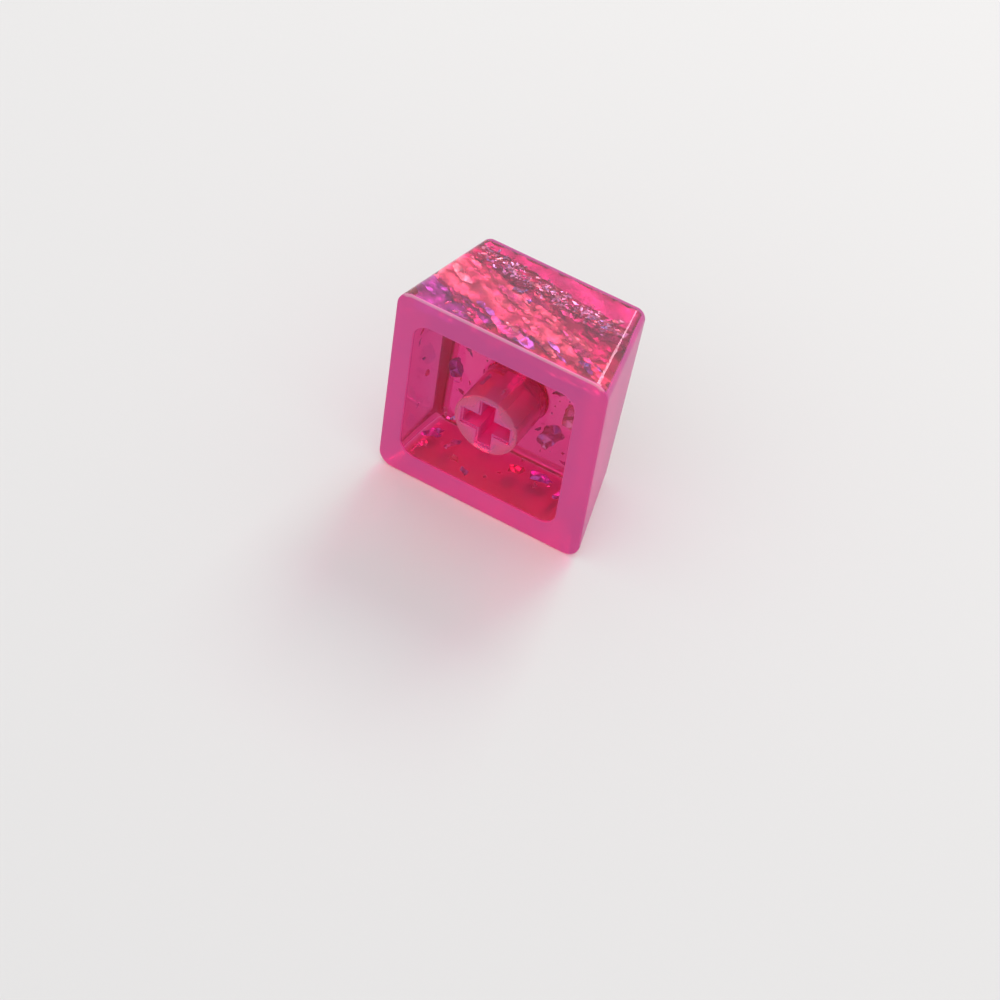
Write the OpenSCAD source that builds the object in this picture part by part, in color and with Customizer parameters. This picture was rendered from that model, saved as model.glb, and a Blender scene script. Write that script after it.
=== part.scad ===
// One-unit keycap cast in one piece in clear resin.
// It is drawn the right way up, with its rim on z = 0 and its front towards -Y,
// and is then laid on its front wall, the way it lies when it is put down.

/* [Rim] */
// Width of the rim, left to right
rim_w = 18.1; // [17:0.1:20]
// Depth of the rim, front to back
rim_d = 18.1; // [17:0.1:20]
// Radius of the rim's four corners
rim_corner_r = 1.3; // [0.3:0.1:1.8]
// Radius of the softened outer edge of the rim
rim_edge_r = 0.12; // [0.05:0.01:0.25]

/* [Top] */
// Height of the top's back edge above the rim
back_h = 9.8; // [8.5:0.1:12]
// Slope of the top, down towards the front, in degrees
top_slope = 6.5; // [0:0.5:9]
// How far the top is set in from the rim at each side
side_inset = 1.9; // [1.5:0.1:2.8]
// How far the top is set in from the rim at the front
front_inset = 1.2; // [0.8:0.1:2.4]
// How far the top is set in from the rim at the back
back_inset = 0.2; // [0:0.1:1.5]
// Radius of the top's four corners
top_corner_r = 0.9; // [0.6:0.1:3]
// Radius of the rounded edge around the top
top_edge_r = 0.4; // [0.2:0.1:0.8]
// Width of the finger dish in the top
dish_w = 11; // [6:0.5:12]
// Depth of the finger dish
dish_depth = 0.35; // [0.1:0.05:0.8]

/* [Cavity] */
// Thickness of the left wall at the rim
left_wall = 2.4; // [1.5:0.1:2.6]
// Thickness of the right wall at the rim
right_wall = 1.7; // [1.2:0.1:2.4]
// Thickness of the front wall at the rim
front_wall = 2.1; // [1.6:0.1:2.6]
// Thickness of the back wall at the rim
back_wall = 2.4; // [1.6:0.1:3]
// Depth of the cavity, from the rim to its ceiling
cavity_h = 5; // [4.6:0.1:5.4]
// Draft of the cavity's walls, in degrees
cavity_draft = 1; // [0:0.5:2]
// Radius of the cavity's corners at the rim
cavity_corner_r = 1.4; // [0.6:0.1:2]

/* [Stem] */
// Diameter of the stem
stem_d = 5.5; // [5.3:0.1:6]
// How far the end of the stem lies inside the rim
stem_recess = 0.1; // [0:0.1:0.8]
// Radius of the fillet where the stem meets the ceiling
stem_fillet = 0.4; // [0.2:0.1:0.8]
// Length of both arms of the cross socket
cross_l = 4.1; // [4:0.05:4.3]
// Width of the arm that runs left to right
cross_w_across = 1.3; // [1.2:0.05:1.4]
// Width of the arm that runs front to back
cross_w_along = 1.15; // [1.05:0.05:1.3]
// Depth of the cross socket, from the end of the stem
cross_h = 4; // [3.6:0.1:4.4]
// Depth and width of the lead-in step around the mouth of the socket
cross_lead = 0.15; // [0.1:0.05:0.3]

/* [Hidden] */
corner_fn = 48;
stem_fn = 96;
dish_fn = 160;
edge_steps = 6;
overcut = 1;
plate_h = 0.4;

// The rim, the top and the cavity in plan, measured from the middle of the rim
rim_back = rim_d / 2;
rim_front = -rim_d / 2;
top_w = rim_w - 2 * side_inset;
top_d = (rim_d - front_inset - back_inset) / cos(top_slope);
front_h = back_h - top_d * sin(top_slope);
cavity_left = -rim_w / 2 + left_wall;
cavity_right = rim_w / 2 - right_wall;
cavity_front = rim_front + front_wall;
cavity_back = rim_back - back_wall;
cavity_shrink = cavity_h * tan(cavity_draft);
stem_x = (cavity_left + cavity_right) / 2;
stem_y = (cavity_front + cavity_back) / 2;
dish_r = (pow(dish_w / 2, 2) + pow(dish_depth, 2)) / (2 * dish_depth);

// Middles of the rounding at the top's front and back edges, as depth and height
edge_reach = top_edge_r * cos(top_slope);
edge_lift = top_edge_r * sin(top_slope);
front_edge_y = rim_front + front_inset + edge_reach + edge_lift;
front_edge_z = front_h + edge_lift - edge_reach;
back_edge_y = rim_back - back_inset - edge_reach + edge_lift;
back_edge_z = back_h - edge_lift - edge_reach;

// The front wall starts this high above the rim, where the rim's widest band ends
band_z = 2 * rim_edge_r;
// The keycap lies on its front wall, which runs from that band to the rounding of the top
front_run = norm([front_edge_y - rim_front, front_edge_z - band_z]);
lie_tilt = atan((front_edge_y - rim_front) / (front_edge_z - band_z))
    - asin(top_edge_r / front_run);
// How far the lying keycap reaches in front of and behind the band's line
lying_front = rim_edge_r * sin(lie_tilt) - band_z * cos(lie_tilt);
lying_back = (back_edge_y - rim_front) * sin(lie_tilt)
    + (back_edge_z - band_z) * cos(lie_tilt) + top_edge_r;

// A plate with round corners, given by its four edges, its corner radius and its thickness
module round_plate(left, right, front, back, r, h) {
    for (x = [left + r, right - r], y = [front + r, back - r])
        translate([x, y, 0])
            cylinder(r = r, h = h, $fn = corner_fn);
}

// Moves its children onto the sloping top, with y measured from the top's back edge
module on_top() {
    translate([0, rim_back - back_inset, back_h])
        rotate([top_slope, 0, 0])
            children();
}

// The outside of the casting, softened at the rim and rounded around the top
module outer_form() {
    hull() {
        round_plate(-rim_w / 2 + rim_edge_r, rim_w / 2 - rim_edge_r,
            rim_front + rim_edge_r, rim_back - rim_edge_r, rim_corner_r - rim_edge_r, rim_edge_r);
        translate([0, 0, rim_edge_r])
            round_plate(-rim_w / 2, rim_w / 2, rim_front, rim_back,
                rim_corner_r, band_z - rim_edge_r);
        on_top()
            for (i = [0 : edge_steps]) {
                inset = top_edge_r * (1 - cos(90 * i / edge_steps));
                drop = top_edge_r * (1 - sin(90 * i / edge_steps));
                translate([0, 0, -drop - plate_h])
                    round_plate(-top_w / 2 + inset, top_w / 2 - inset,
                        -top_d + inset, -inset, top_corner_r - inset, plate_h);
            }
    }
}

// The shallow spherical dish in the top
module dish() {
    on_top()
        translate([0, -top_d / 2, dish_r - dish_depth])
            sphere(r = dish_r, $fn = dish_fn);
}

// The hollow that goes over the switch
module cavity() {
    mouth_grow = overcut * tan(cavity_draft);
    hull() {
        translate([0, 0, -overcut - plate_h])
            round_plate(cavity_left - mouth_grow, cavity_right + mouth_grow,
                cavity_front - mouth_grow, cavity_back + mouth_grow,
                cavity_corner_r + mouth_grow, plate_h);
        translate([0, 0, cavity_h - plate_h])
            round_plate(cavity_left + cavity_shrink, cavity_right - cavity_shrink,
                cavity_front + cavity_shrink, cavity_back - cavity_shrink,
                cavity_corner_r - cavity_shrink, plate_h);
    }
}

// The stem, with a fillet where it meets the ceiling
module stem() {
    foot_r = stem_d / 2 + stem_fillet;
    translate([stem_x, stem_y, 0])
        rotate_extrude($fn = stem_fn)
            difference() {
                translate([0, stem_recess])
                    square([foot_r, cavity_h - stem_recess + plate_h]);
                translate([stem_d / 2, -overcut])
                    square([foot_r, cavity_h - stem_fillet + overcut]);
                translate([foot_r, cavity_h - stem_fillet])
                    circle(r = stem_fillet, $fn = corner_fn);
            }
}

// One arm of the cross, with a lead-in step at its mouth
module cross_arm(arm_l, arm_w) {
    translate([-arm_l / 2, -arm_w / 2, stem_recess - overcut])
        cube([arm_l, arm_w, cross_h + overcut]);
    translate([-arm_l / 2 - cross_lead, -arm_w / 2 - cross_lead, stem_recess - overcut])
        cube([arm_l + 2 * cross_lead, arm_w + 2 * cross_lead, cross_lead + overcut]);
}

// The socket that presses onto the cross of the switch
module cross_socket() {
    translate([stem_x, stem_y, 0]) {
        cross_arm(cross_l, cross_w_across);
        rotate([0, 0, 90])
            cross_arm(cross_l, cross_w_along);
    }
}

// Lays the keycap on its front wall, rim towards -Y, with its middle over the origin
module lay_down() {
    translate([0, -(lying_front + lying_back) / 2, 0])
        rotate([90 - lie_tilt, 0, 0])
            rotate([0, 180, 0])
                translate([0, -rim_front, -band_z])
                    children();
}

module keycap() {
    color("deeppink")
        lay_down()
            difference() {
                union() {
                    difference() {
                        outer_form();
                        dish();
                        cavity();
                    }
                    stem();
                }
                cross_socket();
            }
}

keycap();
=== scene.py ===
import math
import random

import bmesh
import bpy
import numpy as np
from mathutils import Matrix, Vector, geometry, noise


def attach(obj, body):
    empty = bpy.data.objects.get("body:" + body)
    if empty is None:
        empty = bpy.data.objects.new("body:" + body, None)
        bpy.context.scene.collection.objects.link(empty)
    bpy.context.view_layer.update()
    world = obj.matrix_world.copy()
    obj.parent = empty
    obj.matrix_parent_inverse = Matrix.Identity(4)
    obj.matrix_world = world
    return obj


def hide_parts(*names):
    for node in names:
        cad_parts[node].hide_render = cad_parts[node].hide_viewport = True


# A one-unit keycap cast in clear pink resin with crinkled film inside.
# It is drawn upright in millimetres, rim on z = 0 and front towards -y, and laid down
# on its front wall as the CAD model is.

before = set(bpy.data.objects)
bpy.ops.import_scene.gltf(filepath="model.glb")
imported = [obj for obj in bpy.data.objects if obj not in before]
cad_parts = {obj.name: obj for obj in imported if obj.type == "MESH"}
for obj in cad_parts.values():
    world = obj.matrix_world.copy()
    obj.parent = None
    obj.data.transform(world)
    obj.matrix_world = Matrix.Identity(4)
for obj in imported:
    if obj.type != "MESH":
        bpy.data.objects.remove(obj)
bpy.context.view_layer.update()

MM = 0.001

# Rim
RIM_W = 18.1
RIM_D = 18.1
RIM_CORNER_R = 1.3
RIM_EDGE_R = 0.12
RIM_INNER_R = 0.08

# Top
BACK_H = 9.8
TOP_SLOPE = math.radians(6.5)
SIDE_INSET = 1.9
FRONT_INSET = 1.2
BACK_INSET = 0.2
TOP_CORNER_R = 0.9
TOP_EDGE_R = 0.4
DISH_W = 11.0
DISH_DEPTH = 0.35

# Cavity
LEFT_WALL = 2.4
RIGHT_WALL = 1.7
FRONT_WALL = 2.1
BACK_WALL = 2.4
CAVITY_H = 5.0
CAVITY_DRAFT = math.radians(1)
CAVITY_CORNER_R = 1.4
CAVITY_CEILING_R = 0.2

# Stem
STEM_D = 5.5
STEM_RECESS = 0.1
STEM_FILLET = 0.4
STEM_EDGE_R = 0.1
CROSS_L = 4.1
CROSS_W_ACROSS = 1.3
CROSS_W_ALONG = 1.15
CROSS_H = 4.0
CROSS_LEAD = 0.15

# How satin each surface is: 0 is as glossy as cast, 1 sanded, and 2 pale white, which is a
# painted highlight
GLOSSY = 0.0
OUTER_SATIN = 0.05
SIDE_SATIN = 0.8
TOP_EDGE_SATIN = 0.5
RIM_SATIN = 1.0
# The rim's back edge, made paler and whiter: a painted highlight
PAINTED_EDGE_HIGHLIGHT = 1.7
WALL_SATIN = 0.1
CEILING_SATIN = 0.08
STEM_SATIN = 0.22
STEM_END_SATIN = 0.22
SOCKET_SATIN = 0.4

# How near to the outermost x or y a point is that counts to the sides or the back edge
SIDE_BAND = 0.3

# Derived from the sizes above
RIM_BACK = RIM_D / 2
RIM_FRONT = -RIM_D / 2
TOP_W = RIM_W - 2 * SIDE_INSET
TOP_D = (RIM_D - FRONT_INSET - BACK_INSET) / math.cos(TOP_SLOPE)
FRONT_H = BACK_H - TOP_D * math.sin(TOP_SLOPE)
CAVITY_LEFT = -RIM_W / 2 + LEFT_WALL
CAVITY_RIGHT = RIM_W / 2 - RIGHT_WALL
CAVITY_FRONT = RIM_FRONT + FRONT_WALL
CAVITY_BACK = RIM_BACK - BACK_WALL
STEM_X = (CAVITY_LEFT + CAVITY_RIGHT) / 2
STEM_Y = (CAVITY_FRONT + CAVITY_BACK) / 2
DISH_R = ((DISH_W / 2) ** 2 + DISH_DEPTH**2) / (2 * DISH_DEPTH)
DISH_Y = (RIM_BACK - BACK_INSET + RIM_FRONT + FRONT_INSET) / 2
BAND_Z = 2 * RIM_EDGE_R

# The keycap lies on the plane from the rim's band to the rounding of the top's front edge
EDGE_REACH = TOP_EDGE_R * math.cos(TOP_SLOPE)
EDGE_LIFT = TOP_EDGE_R * math.sin(TOP_SLOPE)
FRONT_EDGE_RUN = FRONT_INSET + EDGE_REACH + EDGE_LIFT
FRONT_EDGE_RISE = FRONT_H + EDGE_LIFT - EDGE_REACH - BAND_Z
BACK_EDGE_RUN = RIM_D - BACK_INSET - EDGE_REACH + EDGE_LIFT
BACK_EDGE_RISE = BACK_H - EDGE_LIFT - EDGE_REACH - BAND_Z
LIE_TILT = math.atan(FRONT_EDGE_RUN / FRONT_EDGE_RISE) - math.asin(
    TOP_EDGE_R / math.hypot(FRONT_EDGE_RUN, FRONT_EDGE_RISE)
)
LYING_FRONT = RIM_EDGE_R * math.sin(LIE_TILT) - BAND_Z * math.cos(LIE_TILT)
LYING_BACK = (
    BACK_EDGE_RUN * math.sin(LIE_TILT) + BACK_EDGE_RISE * math.cos(LIE_TILT) + TOP_EDGE_R
)
LYING_MIDDLE = (LYING_FRONT + LYING_BACK) / 2

# Points of a ring: along each side, round each corner, and in all
SIDE_STEPS = 36
CORNER_STEPS = 12
RING = 4 * (SIDE_STEPS + CORNER_STEPS)
EDGE_STEPS = 8

# Edges of the casting sharper than this stay sharp, and folds of a sheet sharper than that
RESIN_SHARP_ANGLE = math.radians(35)
SHEET_SHARP_ANGLE = math.radians(70)


def lay_down(points):
    """Points of the upright keycap, in millimetres, moved to where it lies, in metres."""
    points = np.asarray(points, float)
    run = points[:, 1] - RIM_FRONT
    rise = points[:, 2] - BAND_Z
    sin, cos = math.sin(LIE_TILT), math.cos(LIE_TILT)
    return MM * np.column_stack(
        (-points[:, 0], rise * cos + run * sin - LYING_MIDDLE, run * cos - rise * sin)
    )


def rounded_rect(left, right, front, back, r, z):
    """A ring with round corners, from the middle of its right side and round by the back."""
    corners = (
        (right - r, back - r, 0),
        (left + r, back - r, 90),
        (left + r, front + r, 180),
        (right - r, front + r, 270),
    )
    arcs = []
    for x, y, start in corners:
        turn = np.radians(start + np.linspace(0, 90, CORNER_STEPS + 1))
        arcs.append(np.column_stack((x + r * np.cos(turn), y + r * np.sin(turn))))
    points = []
    for arc, following in zip(arcs, arcs[1:] + arcs[:1]):
        share = np.linspace(0, 1, SIDE_STEPS + 1)[1:-1, None]
        points.append(arc)
        points.append(arc[-1] + share * (following[0] - arc[-1]))
    ring = np.roll(np.concatenate(points), SIDE_STEPS // 2, axis=0)
    return np.column_stack((ring, np.full(RING, z)))


def circle(x, y, r, z):
    """A round ring, from the middle of its right side."""
    turn = 2 * math.pi * np.arange(RING) / RING
    return np.column_stack((x + r * np.cos(turn), y + r * np.sin(turn), np.full(RING, z)))


def cross(grow, z):
    """The outline of the cross socket, from the middle of its right end."""
    end = CROSS_L / 2 + grow
    across = CROSS_W_ACROSS / 2 + grow
    along = CROSS_W_ALONG / 2 + grow
    quarter = [(end, across), (along, across), (along, end)]
    outline = quarter + [(-x, y) for x, y in reversed(quarter)]
    outline += [(-x, -y) for x, y in outline]
    outline = np.array(outline)
    steps = RING // len(outline)
    share = np.arange(steps)[:, None] / steps
    sides = [
        start + share * (stop - start)
        for start, stop in zip(outline, np.roll(outline, -1, axis=0))
    ]
    ring = np.roll(np.concatenate(sides), steps // 2, axis=0)
    return np.column_stack((ring + (STEM_X, STEM_Y), np.full(RING, z)))


def on_top(ring):
    """A ring moved onto the sloping top, with y measured from the top's back edge."""
    x, y, z = ring.T
    sin, cos = math.sin(TOP_SLOPE), math.cos(TOP_SLOPE)
    return np.column_stack(
        (x, RIM_BACK - BACK_INSET + y * cos - z * sin, BACK_H + y * sin + z * cos)
    )


def top_ring(inset, z):
    return on_top(
        rounded_rect(
            -TOP_W / 2 + inset, TOP_W / 2 - inset, -TOP_D + inset, -inset,
            TOP_CORNER_R - inset, z,
        )
    )


def dish_ring(r):
    """A round ring in the dish, which is part of a sphere."""
    z = DISH_R - DISH_DEPTH - math.sqrt(DISH_R**2 - r**2)
    return on_top(circle(0, -TOP_D / 2, r, z))


def rim_ring(inset, z):
    return rounded_rect(
        -RIM_W / 2 + inset, RIM_W / 2 - inset, RIM_FRONT + inset, RIM_BACK - inset,
        RIM_CORNER_R - inset, z,
    )


def cavity_ring(z, inset=0.0):
    shrink = z * math.tan(CAVITY_DRAFT) + inset
    return rounded_rect(
        CAVITY_LEFT + shrink, CAVITY_RIGHT - shrink, CAVITY_FRONT + shrink,
        CAVITY_BACK - shrink, CAVITY_CORNER_R - shrink, z,
    )


def between(start, stop, shares):
    """Rings that lie at some shares of the way from one ring to another."""
    return [start + share * (stop - start) for share in shares]


def quarter_turn(steps=EDGE_STEPS):
    """Pairs of 1 - cos and 1 - sin from 0 to 90 degrees, which round off an edge."""
    turns = [math.pi / 2 * i / steps for i in range(steps + 1)]
    return [(1 - math.cos(turn), 1 - math.sin(turn)) for turn in turns]


def resin_rings():
    """All rings of the casting, from the middle of the dish round to the socket's bottom,
    each with how satin it is."""
    smooth_ends = (0.03, 0.25, 0.5, 0.75, 0.97)
    rings = []

    def add(satin_and_highlight, *more):
        rings.extend((ring, np.broadcast_to(satin_and_highlight, RING)) for ring in more)

    # The dish, the flat round it and the rounded edge of the top
    add(GLOSSY, *(dish_ring(r) for r in np.linspace(0.25, DISH_W / 2, 23)))
    add(GLOSSY, *between(dish_ring(DISH_W / 2), top_ring(TOP_EDGE_R, 0), (0.1, 0.9)))
    for inset, drop in reversed(quarter_turn()):
        add(TOP_EDGE_SATIN, top_ring(TOP_EDGE_R * inset, -TOP_EDGE_R * drop))

    # The outer walls
    walls = between(top_ring(0, -TOP_EDGE_R), rim_ring(0, BAND_Z), smooth_ends)
    for ring in (*walls, rim_ring(0, BAND_Z)):
        reach = np.abs(ring[:, 0])
        on_side = reach > reach.max() - SIDE_BAND
        add(np.where(on_side, SIDE_SATIN, OUTER_SATIN), ring)

    # The rim with its softened edges
    for inset, drop in quarter_turn(4):
        ring = rim_ring(RIM_EDGE_R * inset, RIM_EDGE_R * drop)
        # Along the rim's back edge the rounding is paler and whiter: a painted highlight
        add(np.where(ring[:, 1] > RIM_BACK - SIDE_BAND, PAINTED_EDGE_HIGHLIGHT, RIM_SATIN), ring)
    rim_outer = rim_ring(RIM_EDGE_R, 0)
    rim_inner = cavity_ring(0, -RIM_INNER_R)
    add(RIM_SATIN, *between(rim_outer, rim_inner, (0.04, 0.3, 0.7, 0.96)))
    for inset, drop in reversed(quarter_turn(4)):
        add(RIM_SATIN, cavity_ring(RIM_INNER_R * drop, -RIM_INNER_R * inset))

    # The cavity's walls and ceiling
    wall_end = CAVITY_H - CAVITY_CEILING_R
    add(WALL_SATIN, *between(cavity_ring(RIM_INNER_R), cavity_ring(wall_end), smooth_ends))
    for inset, drop in quarter_turn(6):
        add(CEILING_SATIN,
            cavity_ring(CAVITY_H - CAVITY_CEILING_R * drop, CAVITY_CEILING_R * inset))
    ceiling = cavity_ring(CAVITY_H, CAVITY_CEILING_R)
    foot = circle(STEM_X, STEM_Y, STEM_D / 2 + STEM_FILLET, CAVITY_H)
    add(CEILING_SATIN, *between(ceiling, foot, (0.05, 0.5, 0.95)))

    # The stem, from the fillet at its foot to its end
    for inset, drop in reversed(quarter_turn(6)):
        add(CEILING_SATIN, circle(STEM_X, STEM_Y, STEM_D / 2 + STEM_FILLET * inset,
                                  CAVITY_H - STEM_FILLET * drop))
    start = circle(STEM_X, STEM_Y, STEM_D / 2, CAVITY_H - STEM_FILLET)
    stop = circle(STEM_X, STEM_Y, STEM_D / 2, STEM_RECESS + STEM_EDGE_R)
    add(STEM_SATIN, *between(start, stop, smooth_ends))
    for inset, drop in quarter_turn(4):
        add(STEM_END_SATIN, circle(STEM_X, STEM_Y, STEM_D / 2 - STEM_EDGE_R * inset,
                                   STEM_RECESS + STEM_EDGE_R * drop))

    # The cross socket
    add(SOCKET_SATIN, cross(CROSS_LEAD, STEM_RECESS), cross(CROSS_LEAD, STEM_RECESS + CROSS_LEAD))
    mouth = cross(0, STEM_RECESS + CROSS_LEAD)
    bottom = cross(0, STEM_RECESS + CROSS_H)
    add(SOCKET_SATIN, mouth, *between(mouth, bottom, (0.3, 0.6)), bottom)
    return rings


def new_object(name, points, faces):
    mesh = bpy.data.meshes.new(name)
    mesh.from_pydata([tuple(p) for p in points], [], faces)
    mesh.update()
    piece = bpy.data.objects.new(name, mesh)
    bpy.context.scene.collection.objects.link(piece)
    return piece


def turn_outward(piece):
    """Makes all faces of a closed piece face outward."""
    work = bmesh.new()
    work.from_mesh(piece.data)
    bmesh.ops.recalc_face_normals(work, faces=work.faces)
    work.to_mesh(piece.data)
    work.free()


def make_resin():
    """The casting as one closed skin of rings, with a middle point at each end."""
    rings = resin_rings()
    points = np.concatenate([ring for ring, _ in rings])
    satin_and_highlight = np.concatenate([share for _, share in rings])
    dish_middle = on_top(np.array([[0, -TOP_D / 2, -DISH_DEPTH]]))
    socket_middle = np.array([[STEM_X, STEM_Y, STEM_RECESS + CROSS_H]])
    points = np.concatenate((points, dish_middle, socket_middle))
    satin_and_highlight = np.append(satin_and_highlight, (GLOSSY, SOCKET_SATIN))
    first_end, last_end = len(points) - 2, len(points) - 1
    last = (len(rings) - 1) * RING
    faces = []
    for i in range(RING):
        following = (i + 1) % RING
        faces.append((first_end, i, following))
        faces.append((last_end, last + following, last + i))
        for k in range(len(rings) - 1):
            low, high = k * RING, (k + 1) * RING
            faces.append((low + i, high + i, high + following, low + following))
    piece = new_object("keycap_resin", lay_down(points), faces)
    turn_outward(piece)
    mesh = piece.data
    mesh.polygons.foreach_set("use_smooth", [True] * len(mesh.polygons))
    mesh.set_sharp_from_angle(angle=RESIN_SHARP_ANGLE)
    layer = mesh.attributes.new("satin_and_highlight", "FLOAT", "POINT")
    layer.data.foreach_set("value", satin_and_highlight.astype(np.float32))
    return piece


# Film

# How thick it is, and how far flakes and sheets stay inside the casting at the least
FILM_T = 0.03
FILM_MARGIN = 0.2
SHEET_MARGIN = 0.1

# Flakes from this size on have a torn outline
TORN_FROM = 0.9
# What a flake is scaled by in turn, until it fits
SHRINK_STEPS = (1.0, 0.92, 0.85, 0.77, 0.7, 0.6, 0.5, 0.4, 0.3)
# The longest steps that a torn outline has, on a sheet and on a flake
SHEET_TEAR = 0.45
FLAKE_TEAR = 0.3

# Creases of a sheet: how often they come along it and across it, how much oftener the fine
# ones come, how deep they are for the sheet's fold, and the share of it that points stray
CREASE_ALONG = 0.45
CREASE_ACROSS = 1.5
FINE_CREASES = 2.3
CREASE_DEPTH = 3
CREASE_STRAY = 0.12
# The wave length of a sheet's swell
SWELL_LENGTH = 5.0

# How far the hue of a face strays from that of its sheet or flake
SHEET_HUE_SPREAD = 0.02
FLAKE_HUE_SPREAD = 0.08

# Hues of the film, as places on its colour ramp
VIOLET = 0.0
BLUE = 0.12
PALE_BLUE = 0.24
PALE_PINK = 0.36
PALE_YELLOW = 0.46
ORANGE = 0.58
SALMON = 0.70
PINK = 0.86
DEEP_PINK = 1.0

# How far the streaks in the back wall are turned from the rim's direction
STREAK_TURN = -0.35

# What strews the crushed band, the common ones more than once
CRUSHED_HUES = (PALE_PINK, PALE_PINK, PALE_PINK, PALE_BLUE, PALE_YELLOW, SALMON, PINK)

BACKWARD = (0, 1, 0)
SIDEWAYS = (1, 0, 0)


def top_height(y):
    """Height of the sloping top above a place, without the dish."""
    return BACK_H - (RIM_BACK - BACK_INSET - y) * math.tan(TOP_SLOPE)


def back_y(z):
    """The back wall's outer face at a height."""
    return RIM_BACK - BACK_INSET * z / BACK_H


def room_in_stem(p):
    """How far a point lies inside the stem and clear of its socket, roughly."""
    off_x, off_y = abs(p[0] - STEM_X), abs(p[1] - STEM_Y)
    off_across = max(off_x - CROSS_L / 2, off_y - CROSS_W_ACROSS / 2)
    off_along = max(off_x - CROSS_W_ALONG / 2, off_y - CROSS_L / 2)
    off_socket = max(min(off_across, off_along), p[2] - STEM_RECESS - CROSS_H)
    return min(STEM_D / 2 - math.hypot(off_x, off_y), p[2] - STEM_RECESS, off_socket)


def room_in_corner(to_one, to_other, r):
    """How far a point lies inside two faces that meet in a rounding."""
    if to_one < r and to_other < r:
        return r - math.hypot(r - to_one, r - to_other)
    return min(to_one, to_other)


def room(p):
    """How far a point lies inside the casting at the least, roughly. Negative is outside."""
    x, y, z = p
    corner_r = RIM_CORNER_R + (TOP_CORNER_R - RIM_CORNER_R) * z / BACK_H
    side = RIM_W / 2 - SIDE_INSET * (z - BAND_Z) / (top_height(y) - BAND_Z) - abs(x)
    front = y - RIM_FRONT - FRONT_INSET * (z - BAND_Z) / (FRONT_H - BAND_Z)
    back = back_y(z) - y
    top = top_height(y) - z
    if math.hypot(x, y - DISH_Y) < DISH_W / 2:
        top -= DISH_DEPTH
    out_of_cavity = max(
        CAVITY_LEFT - x, x - CAVITY_RIGHT, CAVITY_FRONT - y, y - CAVITY_BACK, z - CAVITY_H
    )
    return min(
        room_in_corner(side, back, corner_r),
        room_in_corner(side, front, corner_r),
        room_in_corner(side, top, TOP_EDGE_R),
        room_in_corner(back, top, TOP_EDGE_R),
        z,
        max(out_of_cavity, room_in_stem(p)),
    )


def inside_polygon(x, y, outline):
    """Whether a point lies inside an outline, by the sides that it lies to the left of."""
    inside = False
    for (ax, ay), (bx, by) in zip(outline, outline[1:] + outline[:1]):
        if (ay > y) != (by > y) and x < (bx - ax) * (y - ay) / (by - ay) + ax:
            inside = not inside
    return inside


def torn(outline, step, rng):
    """An outline with its sides cut into short steps that stray a little."""
    edge = []
    for (ax, ay), (bx, by) in zip(outline, outline[1:] + outline[:1]):
        count = max(1, round(math.hypot(bx - ax, by - ay) / step))
        for i in range(count):
            stray_x, stray_y = (rng.uniform(-0.3, 0.3) * step for _ in range(2))
            edge.append((ax + (bx - ax) * i / count + stray_x,
                         ay + (by - ay) * i / count + stray_y))
    return edge


def faceted(outline, step, stretch, rng):
    """Points in and on an outline, and the triangles between them. The inner points stray
    from a grid that is stretched along x, so the facets are longer than they are wide."""
    points = list(outline)
    left, right = min(x for x, _ in outline), max(x for x, _ in outline)
    low, high = min(y for _, y in outline), max(y for _, y in outline)
    for i in range(int((right - left) / (step * stretch)) + 1):
        for k in range(int((high - low) / step) + 1):
            x = left + step * stretch * (i + rng.uniform(0, 1))
            y = low + step * (k + rng.uniform(0, 1))
            if inside_polygon(x, y, outline):
                points.append((x, y))
    edges = [(i, (i + 1) % len(outline)) for i in range(len(outline))]
    made = geometry.delaunay_2d_cdt([Vector(p) for p in points], edges, [], 1, 1e-5)
    return [(v.x, v.y) for v in made[0]], [tuple(t) for t in made[2]]


def thicken(upper, lower, triangles):
    """Closes a sheet into a thin solid with a lower side and a wall round its edge."""
    count = len(upper)
    faces = list(triangles) + [tuple(i + count for i in reversed(t)) for t in triangles]
    directed = {pair for t in triangles for pair in zip(t, t[1:] + t[:1])}
    for a, b in sorted(directed):
        if (b, a) not in directed:
            faces.append((b, a, a + count, b + count))
    return list(upper) + list(lower), faces


def waves(rng, height, length):
    """A gentle random swell of a given height and wave length, from three crossing waves."""
    turns = [rng.uniform(0, 2 * math.pi) for _ in range(4)]
    rate = 2 * math.pi / length

    def swell(x, y):
        long_wave = math.sin(rate * (0.5 * x + y) + turns[0])
        short_wave = math.sin(rate * (1.3 * x - 2.1 * y) + turns[1])
        cross_wave = math.sin(rate * (0.3 * x + 3.3 * y) + turns[2])
        return height * (0.5 * long_wave + 0.3 * short_wave + 0.2 * cross_wave)

    return swell


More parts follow.
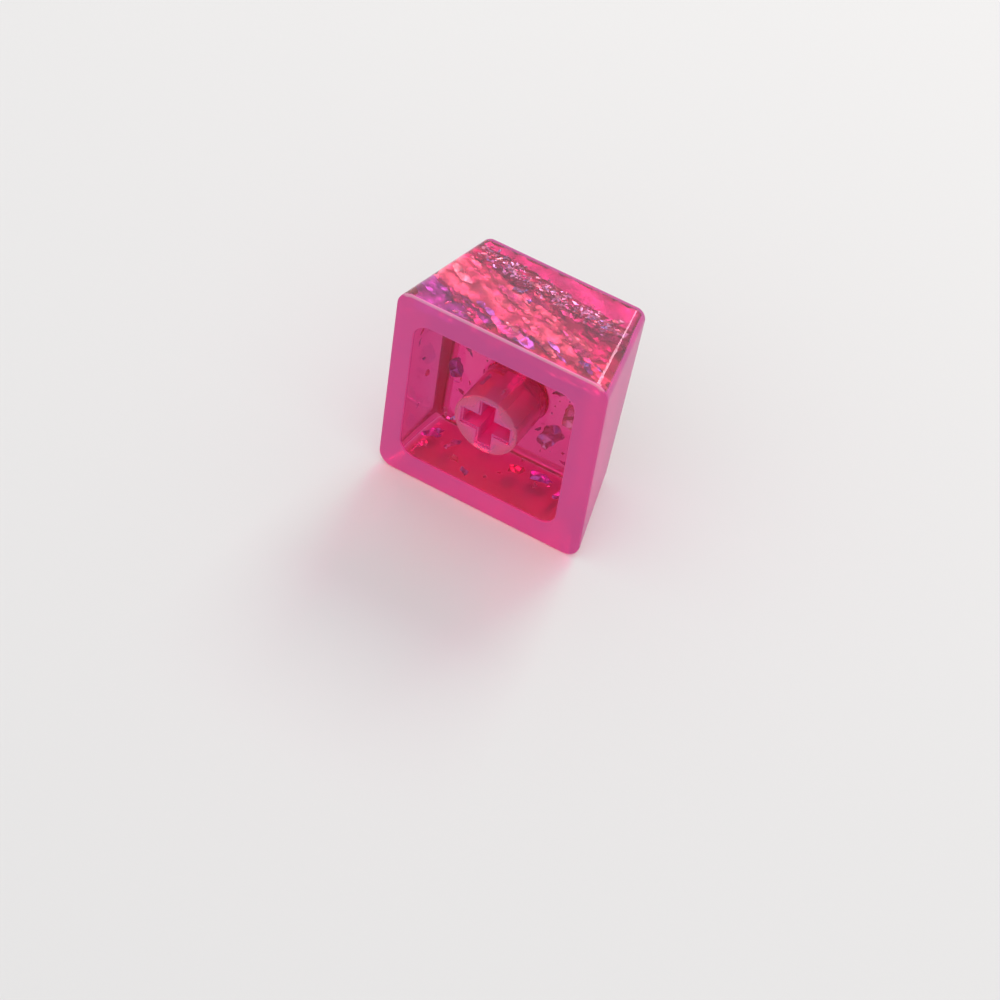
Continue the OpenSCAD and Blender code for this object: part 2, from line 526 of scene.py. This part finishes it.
class FilmBatch:
    """Collects bits of film into one piece."""

    def __init__(self, name, seed):
        self.name = name
        self.rng = random.Random(seed)
        self.points = []
        self.faces = []
        self.hues = []
        self.skipped = 0

    def keep(self, points, faces, hue, spread):
        base = len(self.points)
        self.points += [tuple(p) for p in points]
        self.faces += [tuple(base + i for i in f) for f in faces]
        self.hues += [hue + self.rng.uniform(-spread, spread) for _ in faces]

    def sheet(self, outline, place, hue, step=0.3, stretch=1.8, fold=0.09, swell=0.14):
        """A crinkled sheet. place(x, y, depth) puts a point of it into the casting."""
        rng = self.rng
        flat, triangles = faceted(torn(outline, SHEET_TEAR, rng), step, stretch, rng)
        rise = waves(rng, swell, SWELL_LENGTH)
        fold_origin = Vector((rng.uniform(0, 50), rng.uniform(0, 50), 0))
        depths = []
        for x, y in flat:
            spot = fold_origin + Vector((x * CREASE_ALONG, y * CREASE_ACROSS, 0))
            crease = abs(noise.noise(spot)) + 0.5 * abs(noise.noise(spot * FINE_CREASES))
            stray = rng.uniform(-fold, fold) * CREASE_STRAY
            depths.append(rise(x, y) + fold * CREASE_DEPTH * crease + stray)
        upper = [place(x, y, depth) for (x, y), depth in zip(flat, depths)]
        lower = [place(x, y, depth + FILM_T) for (x, y), depth in zip(flat, depths)]
        # What comes too near to a face of the casting is left out
        clear = [min(room(a), room(b)) > SHEET_MARGIN for a, b in zip(upper, lower)]
        triangles = [t for t in triangles if all(clear[i] for i in t)]
        used = sorted({i for t in triangles for i in t})
        order = {old: new for new, old in enumerate(used)}
        triangles = [tuple(order[i] for i in t) for t in triangles]
        points, faces = thicken([upper[i] for i in used], [lower[i] for i in used], triangles)
        self.keep(points, faces, hue, SHEET_HUE_SPREAD)

    def flake(self, at, size, normal, hue, aspect=0.6, sides=5, fold=0.06, spin=None):
        """A small bit of film, drawn in until it fits inside the casting."""
        rng = self.rng
        if spin is None:
            spin = rng.uniform(0, 2 * math.pi)
        outline = []
        for i in range(sides):
            angle = 2 * math.pi * (i + rng.uniform(-0.3, 0.3)) / sides
            reach = size * rng.uniform(0.7, 1.0) / 2
            outline.append((reach * math.cos(angle), reach * aspect * math.sin(angle)))
        if size > TORN_FROM:
            outline = torn(outline, FLAKE_TEAR, rng)
        flat, triangles = faceted(outline, max(0.25, size / 6), 1.3, rng)
        heights = [rng.uniform(-fold, fold) * min(size, 1.0) for _ in flat]
        upper = [(x, y, h) for (x, y), h in zip(flat, heights)]
        lower = [(x, y, h - FILM_T) for x, y, h in upper]
        points, faces = thicken(upper, lower, triangles)
        turn = Matrix.Rotation(spin, 3, "Z")
        aim = Vector(normal).normalized().to_track_quat("Z", "Y").to_matrix() @ turn
        for shrink in SHRINK_STEPS:
            placed = [Vector(at) + aim @ (Vector(p) * shrink) for p in points]
            if min(room(p) for p in placed) >= FILM_MARGIN:
                self.keep(placed, faces, hue, FLAKE_HUE_SPREAD)
                return
        self.skipped += 1

    def make(self, soft=False):
        """The piece. A soft one has rounded creases, a hard one flat facets."""
        piece = new_object(self.name, lay_down(self.points), self.faces)
        turn_outward(piece)
        if soft:
            piece.data.polygons.foreach_set("use_smooth", [True] * len(self.faces))
            piece.data.set_sharp_from_angle(angle=SHEET_SHARP_ANGLE)
        layer = piece.data.attributes.new("hue", "FLOAT", "FACE")
        layer.data.foreach_set("value", np.array(self.hues, np.float32))
        print(self.name, "faces", len(self.faces), "bits left out", self.skipped)
        return piece


def behind_back_wall(cover):
    """Places points by x and z, at a depth behind the back wall's outer face."""
    return lambda x, z, depth: (x, back_y(z) - cover - depth, z)


def add_streaks(batch, start, end, width, count, hues):
    """Long shreds in the back wall, side by side along a line, given by x and z."""
    rng = batch.rng
    start, end = Vector(start), Vector(end)
    for _ in range(count):
        x, z = start.lerp(end, rng.random())
        z += rng.gauss(0, width)
        at = (x, back_y(z) - rng.uniform(0.35, 1.5), z)
        batch.flake(
            at, rng.uniform(1.2, 4.5), leaning(BACKWARD, rng, 0.08), rng.choice(hues),
            aspect=rng.uniform(0.12, 0.32), sides=8, fold=0.09,
            spin=rng.gauss(STREAK_TURN, 0.12),
        )


def any_way(rng):
    """A direction drawn from all round."""
    return Vector((rng.gauss(0, 1), rng.gauss(0, 1), rng.gauss(0, 1)))


def leaning(normal, rng, spread=0.45):
    """A direction that strays a little from another."""
    return Vector(normal) + spread * any_way(rng)


def make_sheets():
    """The crinkled sheets and the shreds along them, all behind the back wall's outer face.
    Their outlines are in x and z."""
    batch = FilmBatch("film_sheets", 11)

    # The salmon sheet, from the top's left end down to the rim's right end
    salmon = [
        (7.4, 6.9), (5.2, 6.9), (2.6, 6.2), (0.2, 5.5), (-2.2, 4.8), (-4.4, 4.0), (-6.2, 2.9),
        (-5.0, 1.9), (-2.6, 1.7), (-0.4, 2.1), (2.0, 2.2), (4.2, 2.6), (6.2, 2.9), (7.9, 3.4),
    ]
    batch.sheet(salmon, behind_back_wall(0.6), SALMON)

    # A pink one beside it, and a violet one and a dusty orange one along the rim
    pink = [
        (3.0, 7.4), (-1.5, 7.0), (-4.0, 6.6), (-6.8, 6.0), (-7.0, 3.2), (-5.0, 2.6),
        (-2.4, 3.4), (0.0, 4.0), (2.0, 5.0),
    ]
    batch.sheet(pink, behind_back_wall(1.3), PINK)
    violet = [
        (8.0, 3.6), (7.2, 4.0), (5.6, 3.4), (3.4, 2.9), (1.2, 2.5), (2.4, 1.2), (4.6, 0.8),
        (6.4, 0.6), (8.1, 0.8),
    ]
    batch.sheet(violet, behind_back_wall(1.2), VIOLET)
    dusty = [
        (1.4, 2.6), (-0.5, 2.5), (-2.5, 2.4), (-4.6, 2.7), (-6.6, 3.4), (-7.9, 2.6),
        (-7.9, 0.7), (-5.2, 0.6), (-2.4, 0.6), (0.4, 1.1),
    ]
    batch.sheet(dusty, behind_back_wall(1.3), ORANGE)

    # Deep pink ones along the top's back edge, one near the surface and one further in
    edge = [
        (6.5, 9.35), (3.0, 9.4), (-3.0, 9.4), (-6.5, 9.35), (-7.0, 7.0), (-4.0, 7.4),
        (0.0, 8.0), (4.0, 8.6), (6.7, 8.8),
    ]
    batch.sheet(edge, behind_back_wall(0.42), DEEP_PINK, fold=0.02, swell=0.06)
    under = [
        (7.0, 8.7), (3.0, 8.5), (-2.0, 8.2), (-7.2, 7.6), (-7.4, 5.6), (-3.0, 5.8), (1.0, 6.2),
        (4.0, 6.6), (7.2, 6.6),
    ]
    batch.sheet(under, behind_back_wall(1.0), DEEP_PINK)

    # A flat pink one behind all of them
    backing = [(7.3, 6.6), (0.0, 6.6), (-7.3, 6.6), (-8.2, 0.6), (0.0, 0.7), (8.2, 0.6)]
    batch.sheet(backing, behind_back_wall(1.85), PINK, step=0.5, fold=0.04, swell=0.06)

    # Shreds along the sheets
    add_streaks(batch, (6.8, 6.3), (-5.5, 3.0), 0.8, 46, (SALMON, SALMON, ORANGE, PINK))
    add_streaks(batch, (7.6, 2.8), (2.0, 1.8), 0.6, 14, (VIOLET, PINK, DEEP_PINK))
    add_streaks(batch, (1.0, 1.8), (-7.5, 1.8), 0.5, 24, (ORANGE, SALMON, PINK, VIOLET))
    add_streaks(batch, (5.0, 7.4), (-7.0, 5.2), 0.6, 26, (DEEP_PINK, DEEP_PINK, PINK))
    return batch.make(soft=True)


def make_flakes():
    """Single flakes: those that stand out, then others all over the casting."""
    batch = FilmBatch("film_flakes", 23)
    rng = batch.rng
    # Place, size, which way it faces, hue, how wide it is for its length, and its spin
    for at, size, normal, hue, aspect, spin in (
        ((-5.9, 8.5, 7.4), 0.9, (0.1, 1, 0.1), PALE_YELLOW, 0.8, 0.3),
        ((-6.5, 8.4, 6.5), 1.7, (0.1, 1, -0.1), PALE_YELLOW, 0.5, 0.4),
        ((-4.0, 8.5, 6.6), 1.4, (0.0, 1, 0.2), PALE_BLUE, 0.4, 0.2),
        ((1.9, 8.5, 5.9), 1.5, (0.1, 1, 0.1), PALE_BLUE, 0.4, 0.4),
        ((0.7, 8.5, 5.2), 0.8, (0.2, 1, 0.0), VIOLET, 0.6, 0.2),
        ((-6.3, 8.5, 1.8), 1.1, (0.0, 1, 0.2), BLUE, 0.45, 1.4),
        # Three tiny pale yellow flakes in a row that paint three bright glints: painted
        # highlights
        ((4.4, 8.6, 0.8), 0.35, BACKWARD, PALE_YELLOW, 0.8, 0.0),
        ((4.0, 8.6, 1.0), 0.35, BACKWARD, PALE_YELLOW, 0.8, 0.5),
        ((3.6, 8.6, 1.2), 0.45, BACKWARD, PALE_YELLOW, 0.8, 0.9),
        ((6.0, -1.3, 5.85), 3.0, (0.03, 0.35, -1), VIOLET, 0.5, 1.5),
        ((5.2, -6.2, 5.5), 2.2, (-0.2, 0.5, -1), PALE_BLUE, 0.3, 1.2),
        ((6.3, -6.2, 5.6), 2.4, (0.2, 0.4, -1), PALE_PINK, 0.4, 1.4),
        ((-2.8, -3.8, 5.95), 3.8, (0.0, 0.35, -1), PALE_BLUE, 0.62, 1.3),
        ((-4.2, -0.6, 5.95), 3.4, (0.05, 0.4, -1), PALE_YELLOW, 0.5, 1.3),
        ((STEM_X + 1.5, STEM_Y + 1.75, 2.6), 2.2, (0.6, 0.75, 0), PALE_BLUE, 0.25, 1.57),
        ((STEM_X - 0.3, STEM_Y + 2.35, 1.7), 1.8, (0.1, 1, 0), PALE_YELLOW, 0.25, 1.4),
        ((STEM_X - 1.9, STEM_Y - 1.2, 2.0), 1.8, (-0.8, -0.5, 0), PALE_BLUE, 0.2, 1.5),
        ((-7.2, 1.6, 3.2), 1.6, SIDEWAYS, PALE_YELLOW, 0.5, 0.6),
        ((8.0, 3.3, 1.7), 1.0, SIDEWAYS, PALE_BLUE, 0.4, 0.2),
        ((8.0, 1.0, 4.0), 1.2, SIDEWAYS, PALE_BLUE, 0.3, 0.5),
        ((-1.1, -7.3, 3.9), 2.0, BACKWARD, SALMON, 0.6, 0.4),
        ((-3.1, -7.3, 4.3), 2.2, BACKWARD, VIOLET, 0.6, 0.2),
        ((-5.4, -7.3, 3.7), 2.2, BACKWARD, BLUE, 0.5, 1.2),
        ((6.4, -7.3, 3.4), 2.4, BACKWARD, VIOLET, 0.5, 0.8),
        ((4.4, -7.3, 3.2), 2.2, BACKWARD, PALE_BLUE, 0.35, 1.2),
        ((6.6, -7.4, 1.7), 1.2, BACKWARD, PALE_PINK, 0.6, 0.4),
    ):
        batch.flake(at, size, normal, hue, aspect, fold=0.14, spin=spin)

    # All through the slab, then in the back wall, the front wall and the side walls
    for _ in range(70):
        at = (rng.uniform(-6.4, 6.4), rng.uniform(-6.6, 8.0), rng.uniform(5.5, 8.4))
        batch.flake(
            at, rng.uniform(0.7, 2.0), any_way(rng), rng.random(), sides=rng.randint(3, 6)
        )
    for _ in range(24):
        z = rng.uniform(0.8, 5.4)
        at = (rng.uniform(-7.4, 7.4), rng.uniform(CAVITY_BACK + 0.4, 8.0), z)
        batch.flake(at, rng.uniform(0.5, 1.3), leaning(BACKWARD, rng), rng.random())
    for _ in range(14):
        at = (rng.uniform(-7.0, 7.0), rng.uniform(-7.9, CAVITY_FRONT - 0.3),
              rng.uniform(1.4, 5.2))
        batch.flake(at, rng.uniform(0.5, 1.4), leaning(BACKWARD, rng), rng.random())
    for side, wall in ((-1, LEFT_WALL), (1, RIGHT_WALL)):
        for _ in range(9):
            x = side * (RIM_W / 2 - rng.uniform(0.8, wall - 0.3))
            at = (x, rng.uniform(-6.5, 7.0), rng.uniform(1.0, 5.2))
            batch.flake(at, rng.uniform(0.4, 1.2), leaning(SIDEWAYS, rng), rng.random())
    return batch.make()


def make_glitter():
    """The finest bits: a crushed band along the top's back edge, and strays."""
    batch = FilmBatch("film_glitter", 37)
    rng = batch.rng
    band_start, band_end = Vector((6.6, 8.2)), Vector((-6.0, 6.4))
    for _ in range(420):
        x, z = band_start.lerp(band_end, rng.random())
        at = (x, back_y(z) - rng.uniform(0.28, 0.75), z + rng.gauss(0, 0.45))
        hue = rng.choice(CRUSHED_HUES)
        batch.flake(
            at, rng.uniform(0.2, 0.8), leaning(BACKWARD, rng, 0.3), hue, aspect=0.5,
            sides=rng.randint(3, 5), fold=0.08, spin=rng.gauss(0, 0.6),
        )
    for _ in range(140):
        at = (rng.uniform(-6.6, 6.6), rng.uniform(-6.0, 8.2), rng.uniform(5.3, 8.6))
        batch.flake(
            at, rng.uniform(0.15, 0.5), any_way(rng), rng.random(), aspect=0.7,
            sides=rng.randint(3, 5), fold=0.03,
        )
    return batch.make()


# Materials

# How fine the textures are, as noise scales for places in metres
SWELL_SCALE = 260
GRAIN_SCALE = 5200
DRIFT_SCALE = 900
CRINKLE_SCALE = 3400

# How high the bumps are, in metres
SWELL_HEIGHT = 0.00012
GRAIN_HEIGHT = 0.00001
CRINKLE_HEIGHT = 0.00004

# The resin's colour and how clear it is, over the half of how satin it is; the pale end past 0.5
# is reached only by the painted highlight on the rim's back edge
RESIN_AND_HIGHLIGHT_COLOURS = (
    (0.00, (1.0, 0.85, 0.95)),
    (0.08, (1.0, 0.45, 0.75)),
    (0.20, (1.0, 0.18, 0.62)),
    (0.30, (1.0, 0.18, 0.62)),
    (0.50, (1.0, 0.13, 0.50)),
    (1.00, (1.0, 0.60, 0.74)),
)
RESIN_AND_HIGHLIGHT_CLEARNESS = ((0.00, 0.98), (0.08, 0.85), (0.20, 0.62), (0.50, 0.50), (1.00, 0.40))
RESIN_IOR = 1.5
RESIN_SHEEN = (1.0, 0.5, 0.75, 1)
CAST_ROUGHNESS = 0.03
SATIN_ROUGHNESS = 0.38
# What light keeps of its colours inside the resin, and how fast it loses the rest
RESIN_TINT = (0.95, 0.02, 0.60, 1)
RESIN_DENSITY = 780

# The film's colour over its hue
FILM_COLOURS = (
    (VIOLET, (0.62, 0.42, 1.00)),
    (BLUE, (0.44, 0.60, 1.00)),
    (PALE_BLUE, (0.80, 0.90, 1.00)),
    (PALE_PINK, (1.00, 0.78, 0.94)),
    (PALE_YELLOW, (1.00, 0.97, 0.80)),
    (ORANGE, (1.00, 0.50, 0.34)),
    (SALMON, (0.96, 0.30, 0.30)),
    (PINK, (0.86, 0.16, 0.42)),
    (DEEP_PINK, (0.68, 0.03, 0.24)),
)
FILM_CLEAR = (0.97, 0.92, 0.97, 1)
# How far the angle and the place turn the hue, and what brings it back on average
ANGLE_SHIFT = 0.3
PLACE_SHIFT = 0.3
SHIFT_BACK = 0.2


class Nodes:
    """A short way to build a node material."""

    def __init__(self, name):
        self.material = bpy.data.materials.new(name)
        self.material.use_nodes = True
        self.tree = self.material.node_tree
        self.tree.nodes.clear()

    def add(self, kind, **settings):
        node = self.tree.nodes.new(kind)
        for key, value in settings.items():
            setattr(node, key, value)
        return node

    def link(self, start, stop):
        self.tree.links.new(start, stop)

    def noise(self, scale, detail=4.0, roughness=0.55):
        node = self.add("ShaderNodeTexNoise")
        node.inputs["Scale"].default_value = scale
        node.inputs["Detail"].default_value = detail
        node.inputs["Roughness"].default_value = roughness
        self.link(self.place(), node.inputs["Vector"])
        return node.outputs["Fac"]

    def place(self):
        return self.add("ShaderNodeTexCoord").outputs["Object"]

    def attribute(self, name):
        return self.add("ShaderNodeAttribute", attribute_name=name).outputs["Fac"]

    def math(self, kind, a, b):
        node = self.add("ShaderNodeMath", operation=kind)
        for socket, value in zip(node.inputs, (a, b)):
            if isinstance(value, (int, float)):
                socket.default_value = value
            else:
                self.link(value, socket)
        return node.outputs[0]

    def ramp(self, value, stops, ease="LINEAR"):
        node = self.add("ShaderNodeValToRGB")
        node.color_ramp.interpolation = ease
        elements = node.color_ramp.elements
        while len(elements) < len(stops):
            elements.new(0.5)
        for element, (position, colour) in zip(elements, stops):
            element.position = position
            element.color = (*colour, 1)
        self.link(value, node.inputs["Fac"])
        return node.outputs["Color"]

    def bump(self, height, distance, strength=1.0, under=None):
        node = self.add("ShaderNodeBump")
        node.inputs["Distance"].default_value = distance
        node.inputs["Strength"].default_value = strength
        self.link(height, node.inputs["Height"])
        if under:
            self.link(under, node.inputs["Normal"])
        return node.outputs["Normal"]

    def output(self, surface, volume=None):
        node = self.add("ShaderNodeOutputMaterial")
        self.link(surface, node.inputs["Surface"])
        if volume:
            self.link(volume, node.inputs["Volume"])
        return self.material


def resin_material():
    """Clear pink resin: glossy where it was cast, frosted where it was sanded, and paler along
    the rim's back edge, which is a painted highlight.
    """
    nodes = Nodes("pink_resin")
    satin_and_highlight = nodes.attribute("satin_and_highlight")
    half_satin_and_highlight = nodes.math("MULTIPLY", satin_and_highlight, 0.5)
    swell = nodes.noise(SWELL_SCALE, 2)
    grain = nodes.noise(GRAIN_SCALE, 3)
    shader = nodes.add("ShaderNodeBsdfPrincipled")
    shader.inputs["IOR"].default_value = RESIN_IOR
    shader.inputs["Specular Tint"].default_value = RESIN_SHEEN
    nodes.link(nodes.ramp(half_satin_and_highlight, RESIN_AND_HIGHLIGHT_COLOURS), shader.inputs["Base Color"])
    roughness = nodes.math("MULTIPLY", satin_and_highlight, SATIN_ROUGHNESS)
    nodes.link(nodes.math("ADD", roughness, CAST_ROUGHNESS), shader.inputs["Roughness"])
    clear = nodes.ramp(half_satin_and_highlight, [(at, (share,) * 3) for at, share in RESIN_AND_HIGHLIGHT_CLEARNESS])
    nodes.link(clear, shader.inputs["Transmission Weight"])
    wavy = nodes.bump(swell, SWELL_HEIGHT, 0.3)
    rough = nodes.bump(nodes.math("MULTIPLY", grain, satin_and_highlight), GRAIN_HEIGHT, 0.5, wavy)
    nodes.link(rough, shader.inputs["Normal"])
    # Lamps reach the film and the floor through the resin
    lamps = nodes.add("ShaderNodeBsdfTransparent")
    path = nodes.add("ShaderNodeLightPath")
    mix = nodes.add("ShaderNodeMixShader")
    nodes.link(path.outputs["Is Shadow Ray"], mix.inputs["Fac"])
    nodes.link(shader.outputs[0], mix.inputs[1])
    nodes.link(lamps.outputs[0], mix.inputs[2])
    tint = nodes.add("ShaderNodeVolumeAbsorption")
    tint.inputs["Color"].default_value = RESIN_TINT
    tint.inputs["Density"].default_value = RESIN_DENSITY
    return nodes.output(mix.outputs[0], tint.outputs[0])


def film_material(name, cover, roughness, metallic):
    """Thin see-through film whose colour turns with the angle, crinkled and bright."""
    nodes = Nodes(name)
    facing = nodes.add("ShaderNodeLayerWeight")
    facing.inputs["Blend"].default_value = 0.5
    shift = nodes.math("MULTIPLY", facing.outputs["Facing"], ANGLE_SHIFT)
    drift = nodes.math("MULTIPLY", nodes.noise(DRIFT_SCALE, 2), PLACE_SHIFT)
    hue = nodes.math("ADD", nodes.attribute("hue"), nodes.math("ADD", shift, drift))
    reflected = nodes.ramp(nodes.math("SUBTRACT", hue, SHIFT_BACK), FILM_COLOURS)
    shader = nodes.add("ShaderNodeBsdfPrincipled")
    shader.inputs["Metallic"].default_value = metallic
    shader.inputs["Roughness"].default_value = roughness
    nodes.link(reflected, shader.inputs["Base Color"])
    crinkle = nodes.bump(nodes.noise(CRINKLE_SCALE, 4), CRINKLE_HEIGHT, 0.5)
    nodes.link(crinkle, shader.inputs["Normal"])
    clear = nodes.add("ShaderNodeBsdfTransparent")
    clear.inputs["Color"].default_value = FILM_CLEAR
    mix = nodes.add("ShaderNodeMixShader")
    mix.inputs["Fac"].default_value = cover
    nodes.link(clear.outputs[0], mix.inputs[1])
    nodes.link(shader.outputs[0], mix.inputs[2])
    return nodes.output(mix.outputs[0])


def floor_material():
    nodes = Nodes("pale_floor")
    shader = nodes.add("ShaderNodeBsdfPrincipled")
    shader.inputs["Base Color"].default_value = FLOOR_COLOUR
    shader.inputs["Roughness"].default_value = 0.9
    shader.inputs["Specular IOR Level"].default_value = 0.2
    return nodes.output(shader.outputs[0])


# Stage

FLOOR_SIZE = 3.0
FLOOR_GAP = 0.02 * MM
FLOOR_COLOUR = (0.74, 0.73, 0.72, 1)
LAMP_AZIMUTH = math.radians(176)
LAMP_ELEVATION = math.radians(42)
LAMP_DISTANCE = 0.5
LAMP_SIZE = 0.18
LAMP_POWER = 1.0
LAMP_COLOUR = (1.0, 0.97, 0.94)
WORLD_LIGHT = 0.9
WORLD_COLOUR = (0.97, 0.98, 1.0, 1)

# The camera, measured from the picture: where its axis meets the floor, and its place
CAMERA_AIM = Vector((0.00113, -0.00449, 0))
CAMERA_DISTANCE = 0.2260
CAMERA_AZIMUTH = math.radians(28.44)
CAMERA_ELEVATION = math.radians(54.16)
CAMERA_ROLL = math.radians(2.95)
CAMERA_LENS = 103.9
CAMERA_SENSOR = 36
CAMERA_CLIP = 0.01

# The looks of the film: how much it covers, how rough it is and how metallic
SHEET_LOOK = (0.42, 0.38, 0.85)
FLAKE_LOOK = (0.8, 0.26, 0.75)
GLITTER_LOOK = (0.9, 0.24, 0.7)


def direction(azimuth, elevation):
    """From the middle of things, with azimuth from -Y towards +X."""
    flat = math.cos(elevation)
    return Vector((flat * math.sin(azimuth), -flat * math.cos(azimuth), math.sin(elevation)))


def make_floor():
    half = FLOOR_SIZE / 2
    corners = [(-half, -half), (half, -half), (half, half), (-half, half)]
    floor = new_object("floor", [(x, y, -FLOOR_GAP) for x, y in corners], [(0, 1, 2, 3)])
    floor.data.materials.append(floor_material())


def make_lights():
    lamp = bpy.data.lights.new("softbox", "AREA")
    lamp.shape = "SQUARE"
    lamp.size = LAMP_SIZE
    lamp.energy = LAMP_POWER
    lamp.color = LAMP_COLOUR
    box = bpy.data.objects.new("softbox", lamp)
    toward = direction(LAMP_AZIMUTH, LAMP_ELEVATION)
    box.location = toward * LAMP_DISTANCE
    box.rotation_euler = toward.to_track_quat("Z", "Y").to_euler()
    bpy.context.scene.collection.objects.link(box)
    world = bpy.data.worlds.new("studio")
    world.use_nodes = True
    background = world.node_tree.nodes["Background"]
    background.inputs["Color"].default_value = WORLD_COLOUR
    background.inputs["Strength"].default_value = WORLD_LIGHT
    bpy.context.scene.world = world


def make_camera():
    data = bpy.data.cameras.new("camera")
    data.lens = CAMERA_LENS
    data.sensor_width = CAMERA_SENSOR
    data.clip_start = CAMERA_CLIP
    camera = bpy.data.objects.new("camera", data)
    back = direction(CAMERA_AZIMUTH, CAMERA_ELEVATION)
    level = Vector((0, 0, 1)).cross(back).normalized()
    raised = back.cross(level)
    right = level * math.cos(CAMERA_ROLL) + raised * math.sin(CAMERA_ROLL)
    up = back.cross(right)
    camera.matrix_world = Matrix.Translation(CAMERA_AIM + back * CAMERA_DISTANCE) @ Matrix(
        (right, up, back)
    ).transposed().to_4x4()
    bpy.context.scene.collection.objects.link(camera)
    bpy.context.scene.camera = camera


def main():
    resin = make_resin()
    resin.data.materials.append(resin_material())
    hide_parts("keycap")
    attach(resin, "root")
    for make_film, name, look in (
        (make_sheets, "sheet_film", SHEET_LOOK),
        (make_flakes, "flake_film", FLAKE_LOOK),
        (make_glitter, "glitter_film", GLITTER_LOOK),
    ):
        film = make_film()
        film.data.materials.append(film_material(name, *look))
        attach(film, "root")
    make_floor()
    make_lights()
    make_camera()
    bpy.context.scene.view_settings.view_transform = "Standard"


main()
